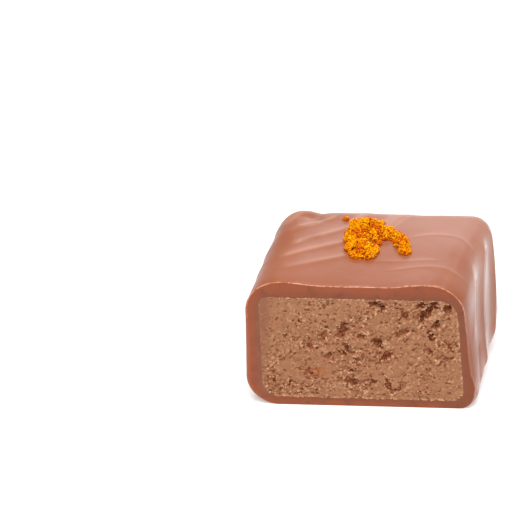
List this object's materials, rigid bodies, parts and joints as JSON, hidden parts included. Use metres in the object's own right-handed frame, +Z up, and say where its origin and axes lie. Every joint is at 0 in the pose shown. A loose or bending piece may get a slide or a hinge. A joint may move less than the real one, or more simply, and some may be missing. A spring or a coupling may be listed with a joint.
{
  "type": "chocolate bonbon",
  "caption": "Oblong milk chocolate bonbon cut across: a rippled coating round a crumbly praline filling, with candied zest on top.",
  "frame": {"origin": "middle of the underside's box, on the surface it rests on", "axes": "+X along the cut face, to the right as it is looked at; +Y from the cut face to the far end; +Z up"},
  "size_m": [0.0318, 0.0202, 0.0184],
  "materials": {
    "coating": "milk chocolate with a soft sheen, matt brown where it is cut",
    "filling": "matt crumbly praline",
    "zest": "bright orange candied zest crumbs"
  },
  "bodies": {
    "root": {"coating": "coating", "filling": "filling"}
  },
  "joints": []
}
